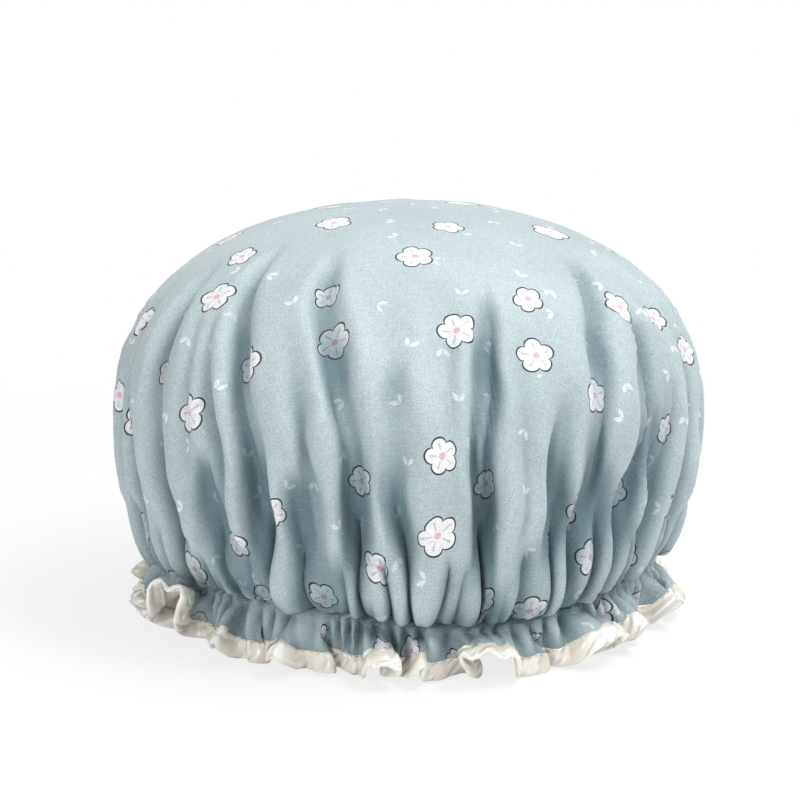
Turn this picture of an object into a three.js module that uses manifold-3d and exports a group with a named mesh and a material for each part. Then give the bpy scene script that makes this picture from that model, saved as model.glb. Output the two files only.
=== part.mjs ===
import * as THREE from 'three';
import { mergeVertices } from 'three/addons/utils/BufferGeometryUtils.js';
import Module from 'manifold-3d';

// A gathered shower cap in millimetres, +Z up, its front towards -Y. It stands on its hem at z = 0.

// Dome: an envelope that the crests of the folds touch
const equatorRadius = 118;
const equatorHeight = 84.5;
const crownRise = 80.8;
const skirtReach = 165; // half height of the ellipse that the skirt below the equator follows
const crownExponent = 2.2;
const tuckHeight = 46; // the cloth curves in to the casing below this height
const tuckDrop = 11.5;
const tuckInset = 2;
const tuckOverhang = 6;
const tuckSag = 0.6;
const upperFoldDepth = 6; // of the deepest valleys, down to this share of the dome's arc
const upperFoldShare = 0.5;
const lowerFoldDepth = 12; // of the deepest valleys at the casing
const crestDrop = 6; // of the puff that sits farthest back
const setBackShares = [0.36, 0.72]; // of the dome's arc, between which a puff comes to sit back
const valleyFloorRadius = 97.5;
const foldRampShare = 0.25; // share of the dome's arc over which a valley reaches its depth
const foldDrift = 2.5; // how fast a valley turns from its crown angle to its hem angle
const shoulderShare = 0.3; // of a puff's width, from its valley to where its rounded face starts
const shoulderDepthShare = 0.05;

// Cloth and clearances
const coverThickness = 0.6;
const liningThickness = 0.4;
const clearance = 0.3;
const steepestMitre = 3; // an edge's offset is at most this many times the cloth's

// Elastic in its casing, between two rows of stitching
const elasticRadius = 94.6;
const elasticThickness = 1.2;
const elasticWidth = 3;
const elasticHeight = 22;
const elasticLap = 12;
const elasticLapRamp = 5;
const casingWidth = 5.5;
const casingPucker = 2;
const casingEase = 1; // between the elastic and the tucks of the casing

// Frill below the casing: printed cloth, then the satin trim that is folded round its hem
const printedWidth = 11.2;
const satinWidth = 8;
const seamGap = 0.4; // on each side of the seam, where the hem and the satin meet
const footCut = 0.5; // the lowest parts of the hem are cut flat by this much
const cutOverrun = 10;
const pleatRadius = 100.5; // of the cloth tucked back between two lobes
const seamTurnShare = 0.75; // share of a pleat's overlap that the seam has reached

// Thread
const threadRadius = 0.3;
const threadSides = 5;
const bartackLength = 5;
const bartackWidth = 2;
const bartackLegs = 4;

// One line a fold: angle at the hem and at the crown, in degrees from the front towards +X,
// then the share of the dome's arc where it starts, its share of the full depth,
// and how far the puff after it sits back, as a share of the crest drop.
const foldShares = [
  [-84, -124, 0.54, 0.75, 0.2],
  [-74, -116, 0.61, 0.6, 0.5],
  [-65, -108, 0.71, 0.6, 0.1],
  [-53, -100, 0.36, 0.95, 0.3],
  [-40.5, -92, 0.67, 0.7, 0.6],
  [-27.5, -85, 0.28, 0.9, 0],
  [-20.5, -68, 0.67, 0.65, 0.6],
  [-9.3, -52, 0.28, 1, 0.1],
  [-0.5, -22, 0.49, 0.75, 0],
  [14, 44, 0.36, 1, 0.5],
  [29, 58, 0.56, 0.85, 0.1],
  [35, 92, 0.32, 0.75, 0.4],
  [41.3, 108, 0.47, 1, 0.1],
  [46.8, 118, 0.72, 0.65, 0.5],
  [55, 126, 0.56, 0.75, 0.2],
  [69, 134, 0.52, 0.7, 0.4],
  [80, 142, 0.35, 0.85, 0.1],
  [94, 150, 0.53, 0.75, 0.5],
  [113, 157, 0.36, 0.95, 0],
  [127, 165, 0.52, 0.8, 0.4],
  [145, 172, 0.35, 0.95, 0.1],
  [161, 179, 0.58, 0.8, 0.6],
  [179, 186, 0.35, 0.9, 0],
  [195, 193, 0.52, 0.8, 0.4],
  [213, 201, 0.32, 1, 0.1],
  [229, 210, 0.53, 0.75, 0.6],
  [246, 219, 0.39, 0.95, 0.1],
  [261, 228, 0.56, 0.8, 0.4],
];

// One line a pleat between two lobes of the frill: its angle at the hem in degrees, which lobe lies in front
// there, 1 the left and -1 the right, and how far the printed cloth and the satin of the next lobe lean out.
const pleatShares = [
  [-98, 1, 46, 44],
  [-82, 1, 48, 59],
  [-66, -1, 54, 66],
  [-50, -1, 46, 44],
  [-34, 1, 35, 25],
  [-18, 1, 41, 26],
  [-3, 1, 48, 35],
  [11.5, -1, 46, 30],
  [29, 1, 41, 29],
  [45, 1, 40, 31],
  [60, 1, 50, 48],
  [78, -1, 46, 56],
  [96, 1, 37, 27],
  [115, -1, 49, 45],
  [134, 1, 37, 24],
  [153, 1, 50, 48],
  [172, -1, 39, 28],
  [191, 1, 45, 32],
  [210, -1, 39, 36],
  [229, 1, 46, 30],
  [247, -1, 40, 31],
];

// Where a pleat's front corner, its fold and its back corner lie, in shares of the way to the next pleat
const cornerShares = [0, 0.17, 0.42];

// Rings of the dome between the crown and the casing, as shares of its arc
const domeRingShares = [0.22, 0.38, 0.5, 0.63, 0.8, 0.95];
const crownRings = 2; // the first rings only have the columns of the valleys
const profileSteps = 120;
const elasticSteps = 72;
const lapSteps = 3;
const lapClearShare = 0.2; // of the ramp, left between the strip's start and the stretch that laps it
const casingSteps = 32; // of the lining inside the elastic
const lapPleat = 16; // the lap lies at the back, where the casing between two tucks leaves room for it

const pleatColumns = 3;
const frillColumnCount = pleatColumns * pleatShares.length;
const elasticOuterRadius = elasticRadius + elasticThickness;
const casingValleyRadius = elasticOuterRadius + clearance + casingEase + coverThickness;
const casingCrestRadius = casingValleyRadius + casingPucker;
const casingTop = elasticHeight + casingWidth / 2;
const casingBottom = elasticHeight - casingWidth / 2;
const liningDepth = coverThickness + clearance;
const trimThickness = liningDepth + liningThickness;
const stitchHeight = clearance + threadRadius;

// The envelope's outline from the crown to the casing, with the arc length at each point
function makeProfile() {
  const points = [];
  for (let i = 0; i <= profileSteps; i++) {
    const turn = (i / profileSteps) * (Math.PI / 2);
    const radius = equatorRadius * Math.sin(turn) ** (2 / crownExponent);
    const rise = crownRise * Math.max(Math.cos(turn), 0) ** (2 / crownExponent);
    points.push(new THREE.Vector2(radius, equatorHeight + rise));
  }
  for (let i = 1; i <= profileSteps; i++) {
    const drop = (i / profileSteps) * (equatorHeight - tuckHeight);
    const radius = equatorRadius * Math.sqrt(1 - (drop / skirtReach) ** 2);
    points.push(new THREE.Vector2(radius, equatorHeight - drop));
  }
  const start = points.at(-1);
  const end = new THREE.Vector2(casingCrestRadius, casingTop);
  const startHandle = new THREE.Vector2(start.x - tuckInset, start.y - tuckDrop);
  const endHandle = new THREE.Vector2(end.x + tuckOverhang, end.y + tuckSag);
  points.push(...new THREE.CubicBezierCurve(start, startHandle, endHandle, end).getPoints(profileSteps).slice(1));
  const arcs = [0];
  for (let i = 1; i < points.length; i++) {
    arcs.push(arcs[i - 1] + points[i].distanceTo(points[i - 1]));
  }
  return { points, arcs };
}

const profile = makeProfile();

// Point and outward normal of the envelope at a share of its arc
function envelopeAt(share) {
  const arc = share * profile.arcs.at(-1);
  const after = Math.max(1, profile.arcs.findIndex((value) => value >= arc));
  const start = profile.points[after - 1];
  const end = profile.points[after];
  const part = (arc - profile.arcs[after - 1]) / (profile.arcs[after] - profile.arcs[after - 1]);
  const along = end.clone().sub(start).normalize();
  return { point: start.clone().lerp(end, part), normal: new THREE.Vector2(-along.y, along.x) };
}

function pointAt(angle, radius, height) {
  return new THREE.Vector3(radius * Math.sin(angle), -radius * Math.cos(angle), height);
}

// A row of a table and its angle, also for the rows before the first and after the last
function turnOf(table, index, angleOf) {
  const wrapped = ((index % table.length) + table.length) % table.length;
  const laps = Math.floor(index / table.length);
  return THREE.MathUtils.degToRad(angleOf(table[wrapped])) + laps * 2 * Math.PI;
}

// A ring of the cloth is a list of its points with their angles, which rise along it
function domeRing(share, ringIndex) {
  const { point, normal } = envelopeAt(share);
  const place = (angle, inward) => {
    const inset = Math.min(inward, Math.max(point.x - valleyFloorRadius, 0));
    return { angle, point: pointAt(angle, point.x - normal.x * inset, point.y - normal.y * inset) };
  };
  const valleyAngle = (fold) => {
    return turnOf(foldShares, fold, ([hem, crown]) => hem + (crown - hem) * (1 - share) ** foldDrift);
  };
  const down = Math.max(share, upperFoldShare);
  const fullDepth = THREE.MathUtils.mapLinear(down, upperFoldShare, 1, upperFoldDepth, lowerFoldDepth);
  const valleyDepth = (fold) => {
    const [, , start, depth] = foldShares[fold % foldShares.length];
    return fullDepth * depth * THREE.MathUtils.smoothstep(share, start, start + foldRampShare);
  };
  return foldShares.flatMap((row, fold) => {
    const start = valleyAngle(fold);
    const width = valleyAngle(fold + 1) - start;
    const valley = place(start, valleyDepth(fold));
    if (ringIndex < crownRings) {
      return [valley];
    }
    const setBack = crestDrop * row[4] * THREE.MathUtils.smoothstep(share, ...setBackShares);
    return [
      valley,
      place(start + width * shoulderShare, setBack + shoulderDepthShare * valleyDepth(fold)),
      place(start + width * (1 - shoulderShare), setBack + shoulderDepthShare * valleyDepth(fold + 1)),
    ];
  });
}

// Columns of the frill: a tuck and the two corners beside it at each pleat, with how far the lobe there leans
function frillColumns() {
  return pleatShares.flatMap(([, front], pleat) => {
    const angle = turnOf(pleatShares, pleat, ([hem]) => hem);
    const toNext = turnOf(pleatShares, pleat + 1, ([hem]) => hem) - angle;
    const toLast = angle - turnOf(pleatShares, pleat - 1, ([hem]) => hem);
    const [near, fold, far] = cornerShares.map((share) => share * (front > 0 ? toNext : -toLast));
    const [, , clothBefore, satinBefore] = pleatShares.at(pleat - 1);
    const [, , cloth, satin] = pleatShares[pleat];
    return [
      { angle: angle + (front > 0 ? near : far), cloth: clothBefore, satin: satinBefore },
      { angle: angle + fold, tucked: true },
      { angle: angle + (front > 0 ? far : near), cloth, satin },
    ];
  });
}

const frill = frillColumns();

// The casing's columns lie evenly, and every third is a tuck
const casingStart = frill[0].angle;
const casingAngles = frill.map((column, i) => casingStart + (i / frillColumnCount) * 2 * Math.PI);

function casingRing(height) {
  return frill.map(({ tucked }, i) => {
    const radius = tucked ? casingValleyRadius : casingCrestRadius;
    return { angle: casingAngles[i], point: pointAt(casingAngles[i], radius, height) };
  });
}

function seamRing() {
  return frill.map(({ angle, cloth, tucked }, i) => {
    const turned = THREE.MathUtils.lerp(casingAngles[i], angle, seamTurnShare);
    const lean = THREE.MathUtils.degToRad(cloth ?? 0);
    const radius = tucked ? pleatRadius : casingCrestRadius + printedWidth * Math.sin(lean);
    return { angle: turned, point: pointAt(turned, radius, casingBottom - printedWidth * Math.cos(lean)) };
  });
}

function footRing() {
  return frill.map(({ angle, cloth, satin, tucked }) => {
    if (tucked) {
      return { angle, point: pointAt(angle, pleatRadius, -footCut) };
    }
    const lean = THREE.MathUtils.degToRad(cloth);
    const satinLean = THREE.MathUtils.degToRad(satin);
    const radius = casingCrestRadius + printedWidth * Math.sin(lean) + satinWidth * Math.sin(satinLean);
    const height = casingBottom - printedWidth * Math.cos(lean) - satinWidth * Math.cos(satinLean);
    return { angle, point: pointAt(angle, radius, height) };
  });
}

// Triangles between an upper and a lower ring, seen from outside; the ring that lags behind takes the next step
function joinRings(upper, lower) {
  const triangles = [];
  if (upper.length === 1) {
    return lower.map((corner, i) => [upper[0], corner, lower[(i + 1) % lower.length]]);
  }
  const angleAt = (ring, i) => ring[i % ring.length].angle + (i < ring.length ? 0 : 2 * Math.PI);
  const middle = (ring, i) => angleAt(ring, i) + angleAt(ring, i + 1);
  let i = 0;
  let j = 0;
  while (i < upper.length || j < lower.length) {
    const top = upper[i % upper.length];
    const bottom = lower[j % lower.length];
    const lowerIsNext = j < lower.length && (i === upper.length || middle(lower, j) <= middle(upper, i));
    if (lowerIsNext) {
      triangles.push([top, bottom, lower[(j + 1) % lower.length]]);
      j += 1;
    } else {
      triangles.push([top, bottom, upper[(i + 1) % upper.length]]);
      i += 1;
    }
  }
  return triangles;
}

function trianglesOf(rings) {
  return rings.slice(1).flatMap((ring, i) => joinRings(rings[i], ring));
}

// The way out of the cloth at each corner, as long as it takes to clear every face there by a unit
function addOutward(rings) {
  const normals = new Map(rings.flat().map((corner) => [corner, []]));
  trianglesOf(rings).forEach((corners) => {
    const [a, b, c] = corners.map(({ point }) => point);
    const normal = new THREE.Triangle(a, b, c).getNormal(new THREE.Vector3());
    corners.forEach((corner) => normals.get(corner).push(normal));
  });
  normals.forEach((faces, corner) => {
    const mean = faces.reduce((sum, normal) => sum.add(normal), new THREE.Vector3()).normalize();
    const least = Math.min(...faces.map((normal) => normal.dot(mean)));
    corner.outward = mean.divideScalar(Math.max(least, 1 / steepestMitre));
  });
  return rings;
}

function ringInside(ring, depth) {
  return ring.map((corner) => ({ ...corner, point: corner.point.clone().addScaledVector(corner.outward, -depth) }));
}

// A ring between two rings with the same columns, a distance from the first towards the second
function ringBetween(first, second, distance) {
  return first.map((from, i) => {
    const share = distance / from.point.distanceTo(second[i].point);
    return {
      angle: THREE.MathUtils.lerp(from.angle, second[i].angle, share),
      point: from.point.clone().lerp(second[i].point, share),
      outward: from.outward.clone().lerp(second[i].outward, share),
    };
  });
}

function geometryOf(points, triangles) {
  const geometry = new THREE.BufferGeometry();
  geometry.setAttribute('position', new THREE.Float32BufferAttribute(points.flatMap((p) => p.toArray()), 3));
  geometry.setIndex(triangles);
  geometry.computeVertexNormals();
  return geometry;
}

// One sheet of cloth as a closed solid: outer and inner rings from top to bottom, with the same counts
function sheetGeometry(outer, inner) {
  const corners = [...outer.flat(), ...inner.flat()];
  const indexOf = new Map(corners.map((corner, i) => [corner, i]));
  const insideOut = trianglesOf(inner).map(([a, b, c]) => [a, c, b]);
  const faces = [...trianglesOf(outer), ...insideOut, ...joinRings(outer.at(-1), inner.at(-1))];
  if (outer[0].length > 1) {
    faces.push(...joinRings(inner[0], outer[0]));
  }
  return geometryOf(corners.map(({ point }) => point), faces.flat().map((corner) => indexOf.get(corner)));
}

// A thread or strip along a path: each section is a list of points, and ends are capped unless it closes
function sweepGeometry(sections, closed) {
  const points = sections.flat();
  const sides = sections[0].length;
  const triangles = [];
  const count = closed ? sections.length : sections.length - 1;
  for (let i = 0; i < count; i++) {
    const here = i * sides;
    const next = ((i + 1) % sections.length) * sides;
    for (let j = 0; j < sides; j++) {
      const k = (j + 1) % sides;
      triangles.push(here + j, next + j, next + k, here + j, next + k, here + k);
    }
  }
  if (!closed) {
    const end = (sections.length - 1) * sides;
    for (let j = 1; j < sides - 1; j++) {
      triangles.push(0, j, j + 1, end, end + j + 1, end + j);
    }
  }
  return geometryOf(points, triangles);
}

// Round section of thread about a point, square to the way it runs
function threadSection(center, along, across) {
  const up = new THREE.Vector3().crossVectors(across, along).normalize();
  const out = new THREE.Vector3().crossVectors(along, up).normalize();
  const section = [];
  for (let side = 0; side < threadSides; side++) {
    const turn = (side / threadSides) * 2 * Math.PI;
    const point = center.clone();
    point.addScaledVector(out, threadRadius * Math.cos(turn));
    point.addScaledVector(up, threadRadius * Math.sin(turn));
    section.push(point);
  }
  return section;
}

// A row of stitching that runs round on the outside of a ring of the cover
function stitchGeometry(ring) {
  const centers = ringInside(ring, -stitchHeight);
  const sections = centers.map(({ point, outward }, i) => {
    const before = centers[(i + centers.length - 1) % centers.length].point;
    const after = centers[(i + 1) % centers.length].point;
    return threadSection(point, after.clone().sub(before).normalize(), outward);
  });
  return sweepGeometry(sections, true);
}

function subPart(name, geometry, color, roughness) {
  const material = new THREE.MeshStandardMaterial({ color, roughness, metalness: 0 });
  const mesh = new THREE.Mesh(geometry, material);
  mesh.name = name;
  return mesh;
}

// Outer face of the cap, from the crown to the lower edge of the satin
const crown = [{ angle: 0, point: new THREE.Vector3(0, 0, equatorHeight + crownRise) }];
const domeRings = domeRingShares.map(domeRing);
const outside = addOutward([
  crown, ...domeRings, casingRing(casingTop), casingRing(casingBottom), seamRing(), footRing(),
]);
const [topStitchRing, bottomStitchRing, seam, foot] = outside.slice(-4);
const coverHem = ringBetween(seam, bottomStitchRing, seamGap);
const trimTop = ringBetween(seam, foot, seamGap);
const coverRings = [...outside.slice(0, -2), coverHem];

function outerCover() {
  const inner = coverRings.map((ring) => ringInside(ring, coverThickness));
  return subPart('outer_cover', sheetGeometry(coverRings, inner), 0xb2c3ca, 0.75);
}

// A level ring of the lining inside the elastic, which passes over its edge at a clearance
function casingInside(height) {
  const ring = [];
  for (let i = 0; i < casingSteps; i++) {
    const angle = casingStart + (i / casingSteps) * 2 * Math.PI;
    ring.push({ angle, point: pointAt(angle, elasticRadius - clearance - liningThickness / 2, height) });
  }
  return ring;
}

// The lining follows the cover, and passes inside the elastic between the two rows of stitching
function innerLining() {
  const along = coverRings.map((ring) => ringInside(ring, liningDepth));
  const edge = elasticWidth / 2 + clearance + liningThickness / 2;
  const casing = [casingInside(elasticHeight + edge), casingInside(elasticHeight - edge)];
  const outer = addOutward([along[0], ...along.slice(2, -2), ...casing, ...along.slice(-2)]);
  const inner = outer.map((ring) => ringInside(ring, liningThickness));
  inner[inner.length - 1] = ringInside(coverHem, liningDepth + liningThickness);
  return subPart('inner_lining', sheetGeometry(outer, inner), 0xece8dc, 0.4);
}

// A closed geometry as a solid that can be cut, and back again
const manifold = await Module();
manifold.setup();

function solidOf(geometry) {
  const vertProperties = new Float32Array(geometry.attributes.position.array);
  const triVerts = new Uint32Array(geometry.index.array);
  return new manifold.Manifold(new manifold.Mesh({ numProp: 3, vertProperties, triVerts }));
}

function geometryOfSolid(solid) {
  const { vertProperties, triVerts } = solid.getMesh();
  const points = [];
  for (let i = 0; i < vertProperties.length; i += 3) {
    points.push(new THREE.Vector3().fromArray(vertProperties, i));
  }
  return geometryOf(points, Array.from(triVerts));
}

function blockBelowFloor() {
  const width = 2 * (casingCrestRadius + printedWidth + satinWidth + cutOverrun);
  const block = new THREE.BoxGeometry(width, width, cutOverrun).translate(0, 0, -cutOverrun / 2);
  block.deleteAttribute('normal');
  block.deleteAttribute('uv');
  return mergeVertices(block);
}

function satinTrim() {
  const outer = [trimTop, foot];
  const inner = outer.map((ring) => ringInside(ring, trimThickness));
  const standing = solidOf(sheetGeometry(outer, inner)).subtract(solidOf(blockBelowFloor()));
  return subPart('satin_trim', geometryOfSolid(standing), 0xebe7da, 0.35);
}

// Middle of the stretch of casing after a tuck, where the elastic's ends lap
function lapMiddle() {
  const tuck = pleatColumns * lapPleat + 1;
  return (casingAngles[tuck + 1] + casingAngles[tuck + 2]) / 2;
}

// The elastic is one strip, and its last stretch laps over its first at the back
function elasticSections() {
  const lapAngle = elasticLap / elasticRadius;
  const rampAngle = elasticLapRamp / elasticRadius;
  const start = lapMiddle() - lapAngle / 2;
  const flatTurn = 2 * Math.PI - rampAngle;
  const lapStart = 2 * Math.PI - rampAngle * lapClearShare;
  const stations = [];
  for (let i = 0; i <= elasticSteps; i++) {
    stations.push([(i / elasticSteps) * flatTurn, 0]);
  }
  for (let i = 0; i <= lapSteps; i++) {
    const gone = lapStart + (i / lapSteps) * (2 * Math.PI + lapAngle - lapStart);
    stations.push([gone, elasticThickness + clearance]);
  }
  return stations.map(([gone, lift]) => {
    const inside = elasticRadius + lift;
    const outside = inside + elasticThickness;
    const below = elasticHeight - elasticWidth / 2;
    const above = elasticHeight + elasticWidth / 2;
    const corners = [[inside, below], [outside, below], [outside, above], [inside, above]];
    return corners.map(([radius, height]) => pointAt(start + gone, radius, height));
  });
}

function elasticBand() {
  return subPart('elastic_band', sweepGeometry(elasticSections(), false), 0xf3f2ee, 0.8);
}

// A zigzag of thread across the elastic's lap
function elasticBartack() {
  const lapOuterRadius = elasticOuterRadius + elasticThickness + clearance;
  const radius = lapOuterRadius + clearance + threadRadius;
  const middleAngle = lapMiddle();
  const centers = [];
  for (let i = 0; i <= 2 * bartackLegs; i++) {
    const angle = middleAngle + (i / (2 * bartackLegs) - 0.5) * (bartackLength / radius);
    const height = elasticHeight + (bartackWidth / 2) * Math.cos((i * Math.PI) / 2);
    centers.push(pointAt(angle, radius, height));
  }
  const sections = centers.map((point, i) => {
    const before = centers[Math.max(i - 1, 0)];
    const after = centers[Math.min(i + 1, centers.length - 1)];
    return threadSection(point, after.clone().sub(before).normalize(), pointAt(middleAngle, 1, 0));
  });
  return subPart('elastic_bartack', sweepGeometry(sections, false), 0xe4e2da, 0.7);
}

// Three rows of stitching: above and below the elastic, and where the trim joins the hem
function stitchRows() {
  return [
    subPart('casing_stitch_upper', stitchGeometry(topStitchRing), 0xa9bbc2, 0.7),
    subPart('casing_stitch_lower', stitchGeometry(bottomStitchRing), 0xa9bbc2, 0.7),
    subPart('trim_stitch', stitchGeometry(seam), 0x9fb1b8, 0.7),
  ];
}

const showerCap = new THREE.Group();
showerCap.add(outerCover(), innerLining(), satinTrim(), elasticBand(), elasticBartack(), ...stitchRows());
export default showerCap;
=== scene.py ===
import math

import bpy
import numpy as np
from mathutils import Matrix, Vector, noise


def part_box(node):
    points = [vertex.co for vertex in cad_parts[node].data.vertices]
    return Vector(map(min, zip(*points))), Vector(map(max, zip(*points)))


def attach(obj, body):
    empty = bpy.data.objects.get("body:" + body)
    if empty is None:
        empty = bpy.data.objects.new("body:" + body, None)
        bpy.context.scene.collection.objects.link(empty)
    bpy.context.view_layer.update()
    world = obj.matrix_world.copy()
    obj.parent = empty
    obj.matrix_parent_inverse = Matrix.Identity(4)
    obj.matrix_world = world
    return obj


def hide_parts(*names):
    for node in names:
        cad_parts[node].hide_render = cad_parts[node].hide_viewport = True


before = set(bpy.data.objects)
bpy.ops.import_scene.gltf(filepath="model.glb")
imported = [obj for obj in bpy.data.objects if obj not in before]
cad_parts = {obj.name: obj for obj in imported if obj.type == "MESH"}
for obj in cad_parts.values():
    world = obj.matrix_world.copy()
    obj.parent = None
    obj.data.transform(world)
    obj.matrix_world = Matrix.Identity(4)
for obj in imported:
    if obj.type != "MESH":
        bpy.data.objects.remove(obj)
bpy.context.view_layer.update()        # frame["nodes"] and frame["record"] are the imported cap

pi = math.pi
random = np.random.default_rng(11)

# The camera looks slightly down on the front of the cap
view = {"elevation": 12.5, "distance": 1.1, "lens": 122.3, "sensor": 36, "target": (-.0032, 0, .086)}


def makeCamera(p):
    tilt = math.radians(p["elevation"])
    back = Vector((0, -math.cos(tilt), math.sin(tilt)))
    place = Vector(p["target"]) + back * p["distance"]
    bpy.ops.object.camera_add(location=place, rotation=(pi / 2 - tilt, 0, 0))
    camera = bpy.context.object
    camera.data.lens = p["lens"]
    camera.data.sensor_width = p["sensor"]
    bpy.context.scene.camera = camera


makeCamera(view)


# Shader maths: a wire is a socket that can be added, multiplied and compared
class Wire:
    def __init__(self, tree, socket=None):
        self.tree = tree
        self.socket = socket

    def node(self, kind, settings=None, sockets=None, out=0):
        made = self.tree.nodes.new("ShaderNode" + kind)
        for name, value in (settings or {}).items():
            setattr(made, name, value)
        for name, value in (sockets or {}).items():
            if isinstance(value, Wire):
                self.tree.links.new(value.socket, made.inputs[name])
            else:
                made.inputs[name].default_value = value
        return Wire(self.tree, made.outputs[out])

    def other(self, name):
        return Wire(self.tree, self.socket.node.outputs[name])

    def math(self, operation, *values):
        return self.node("Math", {"operation": operation}, dict(enumerate(values)))

    def vector(self, operation, *values, out=0):
        return self.node("VectorMath", {"operation": operation}, dict(enumerate(values)), out)

    def __add__(self, value):
        return self.math("ADD", self, value)

    def __sub__(self, value):
        return self.math("SUBTRACT", self, value)

    def __rsub__(self, value):
        return self.math("SUBTRACT", value, self)

    def __mul__(self, value):
        return self.math("MULTIPLY", self, value)

    __radd__ = __add__
    __rmul__ = __mul__

    def size(self):
        return self.math("ABSOLUTE", self)

    def step(self, low, high):
        ends = {"From Min": low, "From Max": high, "Value": self}
        return self.node("MapRange", {"interpolation_type": "SMOOTHSTEP"}, ends)

    def mix(self, first, second):
        # the wire is the share of the second colour
        return self.node("Mix", {"data_type": "RGBA"}, {0: self, 6: first, 7: second}, 2)

    def times(self, colour, share=1):
        # this share of another colour is multiplied into it
        settings = {"data_type": "RGBA", "blend_type": "MULTIPLY"}
        return self.node("Mix", settings, {0: share, 6: self, 7: colour}, 2)

    def parts(self):
        # x of a place; other("Y") and other("Z") are the rest
        return self.node("SeparateXYZ", {}, {"Vector": self})

    def length(self):
        return self.vector("LENGTH", self, out="Value")

    def turn(self):
        # angle of a place round the z axis
        x = self.parts()
        return x.math("ARCTAN2", x.other("Y"), x)

    def noise(self, scale, detail=2):
        return self.node("TexNoise", {}, {"Vector": self, "Scale": scale, "Detail": detail})

    def cells(self, spacing, scatter):
        sockets = {"Vector": self, "Scale": 1 / spacing, "Randomness": scatter}
        return self.node("TexVoronoi", {"voronoi_dimensions": "2D"}, sockets)

    def chance(self):
        # a number for each cell, and other("Green") is a second one
        return self.node("SeparateColor", {}, {"Color": self.other("Color")})

    def bump(self, strength, distance):
        # the wire is the height
        return self.node("Bump", {}, {"Strength": strength, "Distance": distance, "Height": self})


def linear(red, green, blue):
    # a colour given as screen values of 0 to 255
    shares = [c / 255 for c in (red, green, blue)]
    return tuple(c / 12.92 if c <= .04045 else ((c + .055) / 1.055) ** 2.4 for c in shares) + (1,)


def fillTree(owner, kind, build):
    owner.use_nodes = True
    tree = owner.node_tree
    tree.nodes.clear()
    output = tree.nodes.new("ShaderNodeOutput" + kind)
    tree.links.new(build(Wire(tree)).socket, output.inputs["Surface"])
    return owner


def makeMaterial(name, build):
    return fillTree(bpy.data.materials.new(name), "Material", build)


# The cap's envelope, which the crests of its folds touch. An arc is a way down the cloth from the crown, in metres
elasticLow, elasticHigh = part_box("elastic_band")
elasticHeight = (elasticLow.z + elasticHigh.z) / 2
lapLow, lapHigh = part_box("elastic_bartack")
lapAngle = math.atan2(lapLow.x + lapHigh.x, -lapLow.y - lapHigh.y)    # where the elastic's ends are joined
casingHalf = .0016
cap = {
    "radius": .118, "equator": .0845, "top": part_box("outer_cover")[1].z, "exponent": 2.2,
    "skirtReach": .165,    # half height of the ellipse below the equator
    "levelArcs": (.11, .16),    # where the way out of the cloth turns level
    "tuckHeight": .046, "tuckArc": .19, "tuckStart": (.002, .0115), "tuckEnd": (.006, .0006),
    "casingRadius": .0988, "casingTop": elasticHeight + casingHalf, "casingBottom": elasticHeight - casingHalf,
}
# Columns of the mesh, steps between those in use above these arcs, and rows to each arc
net = {
    "columns": 768, "front": math.radians(-5), "coarse": [(.022, 8), (.06, 4), (.15, 2)],
    "rows": [(.075, 18), (.13, 13), (cap["tuckArc"], 23)], "tuckRows": 15, "casingRows": 3,
}

# The gathers don't lie level: angle from the front and lift of the elastic there
sway = [
    (-85, -.0006), (-58, .0032), (-40, .0024), (-17, .003), (-2, 0), (9, -.0028), (20, -.0036), (31, -.003),
    (44, .0008), (57, .0048), (85, .0008), (130, -.0022), (175, .0012), (220, -.002),
]
swayNear = (-12, -6, 0, 6, 12)    # degrees over which it is evened out
swayReach = .05    # arc above the casing where it has died out

# Each valley: angle at the hem and at the crown (degrees, 0 in front, right is positive), arc where it starts,
# strength, then how far the puff after it leans and how far it sits back
folds = [
    (-84, -124, .12, .75, .18, .2), (-74, -116, .135, .6, -.15, .5), (-65, -108, .158, .6, .2, .1),
    (-53, -100, .08, .95, -.2, .3), (-40.5, -92, .148, .7, .18, .6), (-27.5, -85, .062, .9, -.15, 0),
    (-20.5, -68, .15, .65, .1, .6), (-13.5, -60, .188, .5, .1, .3), (-9.3, -52, .062, 1, .15, .1),
    (-.5, -22, .11, .75, -.2, 0), (6.5, 8, .185, .5, .15, .3), (14, 28, .08, 1, -.2, .5),
    (23, 50, .18, .5, .15, .3), (29, 58, .125, .85, -.15, .1), (34.5, 98, .068, .95, -.05, .3),
    (40, 108, .15, .7, -.18, .1), (46.5, 120, .1, 1, -.05, .3), (55, 126, .125, .75, .15, .2),
    (62, 130, .175, .5, .15, .4), (69, 134, .115, .7, -.2, .4), (80, 142, .078, .85, .18, .1),
    (94, 150, .118, .75, .15, .5), (104, 154, .17, .5, -.15, .2), (113, 157, .08, .95, .18, 0),
    (127, 165, .115, .8, -.2, .4), (136, 168, .175, .5, .15, .2), (145, 172, .078, .95, .18, .1),
    (161, 179, .128, .8, -.15, .6), (170, 182, .18, .5, .1, .3), (179, 186, .078, .9, -.18, 0),
    (195, 193, .115, .8, .15, .4), (204, 197, .175, .5, -.15, .2), (213, 201, .07, 1, .18, .1),
    (229, 210, .118, .75, -.15, .6), (238, 214, .178, .5, .15, .3), (246, 219, .086, .95, -.18, .1),
    (261, 228, .124, .8, .15, .4), (270, 232, .178, .5, -.15, .2),
]
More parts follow.
